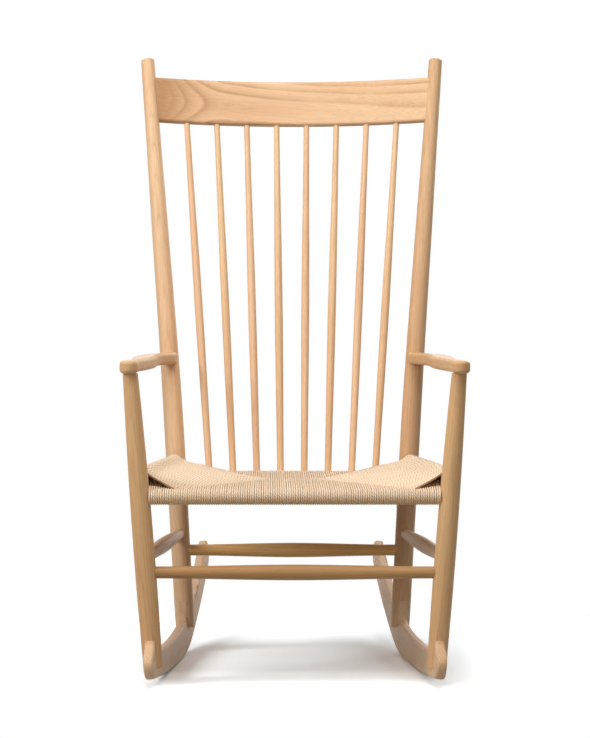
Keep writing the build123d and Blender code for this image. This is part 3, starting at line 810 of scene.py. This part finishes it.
@dataclass
class Woodwork:
    """The turned and sawn pieces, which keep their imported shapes. Splays, rakes, toes, slopes and
    the fan say how far the fibres lean for each unit along them, and crest_heart is the way from
    the crest rail to its tree's centre."""

    timber: Timber = field(default_factory=Timber)
    front_splay: float = 0.0775
    back_splay: float = 0.070
    back_rake: float = 0.20
    rocker_toe: float = 0.0927
    rocker_rise: float = 0.10
    arm_toe: float = 0.05
    arm_polish: float = 0.26
    rail_toe: float = 0.10
    stretcher_toe: float = 0.09
    crest_slope: float = 0.08
    crest_heart: Point = (0.0, 1.0, -0.72)
    spindles: int = 8
    spindle_fan: float = 0.065
    spindle_rake: float = 0.24

    def plan(self) -> dict[str, Board]:
        """Says how each piece lay in its tree.

        Returns:
            Each piece's name and board, in the order that seeds their woods.
        """
        # partly painted shade: the front posts get deeper wood, and the right back post the shaded
        # copy
        front_stock = {"right": Stock.GOLDEN, "left": Stock.AMBER}
        back_stock = {"right": Stock.SHADED_TAWNY, "left": Stock.PLAIN}
        plan: dict[str, Board] = {}
        for side, sign in SIDES.items():
            front = (self.front_splay * sign, 0.0, 1.0)
            back = (self.back_splay * sign, self.back_rake, 1.0)
            rocker = (-self.rocker_toe * sign, 1.0, self.rocker_rise)
            arm = (-self.arm_toe * sign, 1.0, 0.0)
            rail = (-self.rail_toe * sign, 1.0, 0.0)
            stretcher = (-self.stretcher_toe * sign, 1.0, 0.0)
            inside = (-sign, 0.0, 0.0)
            plan[f"front_post_{side}"] = Board(front, Sawing.RIFT, front_stock[side])
            plan[f"back_post_{side}"] = Board(back, Sawing.QUARTERED, back_stock[side])
            plan[f"rocker_{side}"] = Board(rocker, Sawing.FLAT, Stock.GREY, inside)
            # partly painted shade: the arms' amber is partly their own deeper tone, partly standing in
            # for shade
            plan[f"arm_{side}"] = Board(arm, Sawing.QUARTERED, Stock.AMBER, None, self.arm_polish)
            plan[f"side_rail_{side}"] = Board(rail, Sawing.QUARTERED, Stock.PLAIN)
            plan[f"side_stretcher_{side}"] = Board(stretcher, Sawing.RIFT, Stock.PLAIN)
        # painted shade: the seat rails and the front stretcher, under the seat, get the shaded copy
        for name in ("front_rail", "back_rail", "front_stretcher"):
            plan[name] = Board((1.0, 0.0, 0.0), Sawing.RIFT, Stock.SHADED_BROWN)
        # painted light: the rear stretcher, which the seat shades, gets the lit copy
        plan["rear_stretcher"] = Board((1.0, 0.0, 0.0), Sawing.RIFT, Stock.LIT_HONEY)
        crest = (1.0, 0.0, -self.crest_slope)
        plan["crest_rail"] = Board(crest, Sawing.ARCHED, Stock.PLAIN, self.crest_heart)
        middle = (self.spindles + 1) / 2
        for number in range(1, self.spindles + 1):
            lean = self.spindle_fan * (number - middle) / (middle - 1)
            stock = Stock.PINK if number % 2 else Stock.YELLOW
            along = (lean, self.spindle_rake, 1.0)
            plan[f"spindle_{number}"] = Board(along, Sawing.QUARTERED, stock)
        return plan

    def build(self) -> None:
        """Gives every wooden piece its own material."""
        for seed, (name, board) in enumerate(self.plan().items()):
            low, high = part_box(name)
            centre = tuple((a + b) / 2 for a, b in zip(low, high))
            material = self.timber.dress(f"wood_{name}", board, centre, seed)
            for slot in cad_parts[name].material_slots:
                slot.material = material
            log.info("%s: %s, %s", name, board.stock.name.lower(), board.sawing.name.lower())


@dataclass(frozen=True)
class Lamp:
    """A square soft lamp: where it hangs, the point that it faces, its side and its power in
    watts."""

    name: str
    at: Point
    towards: Point
    side: float
    power: float


@dataclass
class Studio:
    """A pale floor, soft lamps and the camera. The camera's shift is in pixels, and picture is the
    picture's longer side in pixels."""

    camera_at: Point = (-0.048, -5.6, 0.712)
    lens: float = 147.95
    sensor: float = 36.0
    picture: float = 738.0
    shift: tuple[float, float] = (28.2, -99.0)
    floor_half: float = 6.0
    floor_bounce: float = 0.35
    floor_seen: float = 1.62
    floor_tint: Colour = (0.96, 1.0, 1.03)
    shadow_reach: tuple[float, float] = (0.50, 0.95)
    sky: float = 0.15
    lamps: tuple[Lamp, ...] = (
        Lamp("top", (0.2, -1.0, 2.7), (0.0, 0.0, 0.4), 1.6, 44.0),
        Lamp("key", (-2.3, -1.4, 2.0), (0.0, 0.0, 0.5), 1.6, 53.0),
        Lamp("fill", (-0.6, -3.4, 0.9), (0.0, 0.0, 0.4), 2.0, 13.0),
        Lamp("rear", (1.6, 2.8, 1.8), (0.0, 0.0, 0.5), 2.0, 36.0),
    )

    def hang(self, lamp: Lamp) -> None:
        """Hangs a lamp and turns it to its point.

        Args:
            lamp: The lamp.
        """
        data = bpy.data.lights.new(lamp.name, "AREA")
        data.size = lamp.side
        data.energy = lamp.power
        made = bpy.data.objects.new(lamp.name, data)
        made.location = lamp.at
        facing = Vector(lamp.towards) - Vector(lamp.at)
        made.rotation_euler = facing.to_track_quat("-Z", "Y").to_euler()
        bpy.context.scene.collection.objects.link(made)

    def seen_white(self, tree: bpy.types.NodeTree) -> bpy.types.NodeSocket:
        """Tells the rays that show a thing from those that only carry its light.

        Args:
            tree: The world's or a material's node tree.

        Returns:
            1 where the camera, or a glossy or clear surface, looks straight at the thing.
        """
        path = tree.nodes.new("ShaderNodeLightPath")
        total = path.outputs["Is Camera Ray"]
        for kind in ("Is Glossy Ray", "Is Transmission Ray"):
            added = tree.nodes.new("ShaderNodeMath")
            added.operation = "ADD"
            added.use_clamp = True
            tree.links.new(total, added.inputs[0])
            tree.links.new(path.outputs[kind], added.inputs[1])
            total = added.outputs[0]
        return total

    def build_world(self) -> None:
        """Makes a sky that lights evenly and shows as white."""
        world = bpy.data.worlds.new("studio")
        bpy.context.scene.world = world
        world.use_nodes = True
        tree = world.node_tree
        background = tree.nodes["Background"]
        background.inputs["Color"].default_value = (1.0, 1.0, 1.0, 1.0)
        level = tree.nodes.new("ShaderNodeMapRange")
        level.inputs["To Min"].default_value = self.sky
        level.inputs["To Max"].default_value = 1.0
        tree.links.new(self.seen_white(tree), level.inputs["Value"])
        tree.links.new(level.outputs["Result"], background.inputs["Strength"])

    def build_floor(self) -> bpy.types.Object:
        """Lays the floor, which keeps a soft shadow near the chair and is plain white further off.

        Returns:
            The floor.
        """
        corners = np.array([(-1.0, -1.0, 0.0), (1.0, -1.0, 0.0), (1.0, 1.0, 0.0), (-1.0, 1.0, 0.0)])
        made = mesh_object("floor", corners * self.floor_half, np.array([[0, 1, 2, 3]]))
        graph = Graph("floor")
        seen = self.seen_white(graph.tree)
        levels = {"Value": seen, "To Min": self.floor_bounce, "To Max": self.floor_seen}
        level = graph.node("MapRange", levels).outputs["Result"]
        tinting = {0: self.floor_tint, "Scale": level}
        tint = graph.node("VectorMath", tinting, operation="SCALE").outputs[0]
        matt = graph.node("BsdfDiffuse", {"Color": tint}).outputs[0]
        place = graph.node("TexCoord").outputs["Object"]
        far = graph.node("VectorMath", {0: place}, operation="LENGTH").outputs["Value"]
        near_edge, far_edge = self.shadow_reach
        fade = {"Value": far, "From Min": near_edge, "From Max": far_edge}
        blank = graph.node("MapRange", fade, interpolation_type="SMOOTHSTEP").outputs["Result"]
        plain = graph.math("MULTIPLY", blank, seen)
        white = graph.node("Emission", {"Strength": 1.0}).outputs[0]
        mixed = graph.node("MixShader", {0: plain, 1: matt, 2: white}).outputs[0]
        graph.feed(graph.output.inputs["Surface"], mixed)
        made.data.materials.append(graph.material)
        return made

    def build_camera(self) -> None:
        """Places the level camera, whose shift frames the chair."""
        data = bpy.data.cameras.new("camera")
        data.lens = self.lens
        data.sensor_width = self.sensor
        data.shift_x = self.shift[0] / self.picture
        data.shift_y = self.shift[1] / self.picture
        data.clip_end = 100.0
        made = bpy.data.objects.new("camera", data)
        made.location = self.camera_at
        made.rotation_euler = (math.radians(90.0), 0.0, 0.0)
        bpy.context.scene.collection.objects.link(made)
        bpy.context.scene.camera = made

    def build(self) -> None:
        """Sets up the whole studio."""
        self.build_camera()
        self.build_world()
        self.build_floor()
        for lamp in self.lamps:
            self.hang(lamp)
        bpy.context.scene.view_settings.view_transform = "Standard"
        log.info("studio: camera, sky, floor and %d lamps", len(self.lamps))


def main() -> None:
    """Builds the studio and dresses the chair, and logs the faces of each group of seat strands."""
    Studio().build()
    Woodwork().build()
    for piece in SeatWeave().build():
        log.info("%s: %d faces", piece.name, len(piece.data.polygons))


if __name__ == "__main__":
    main()
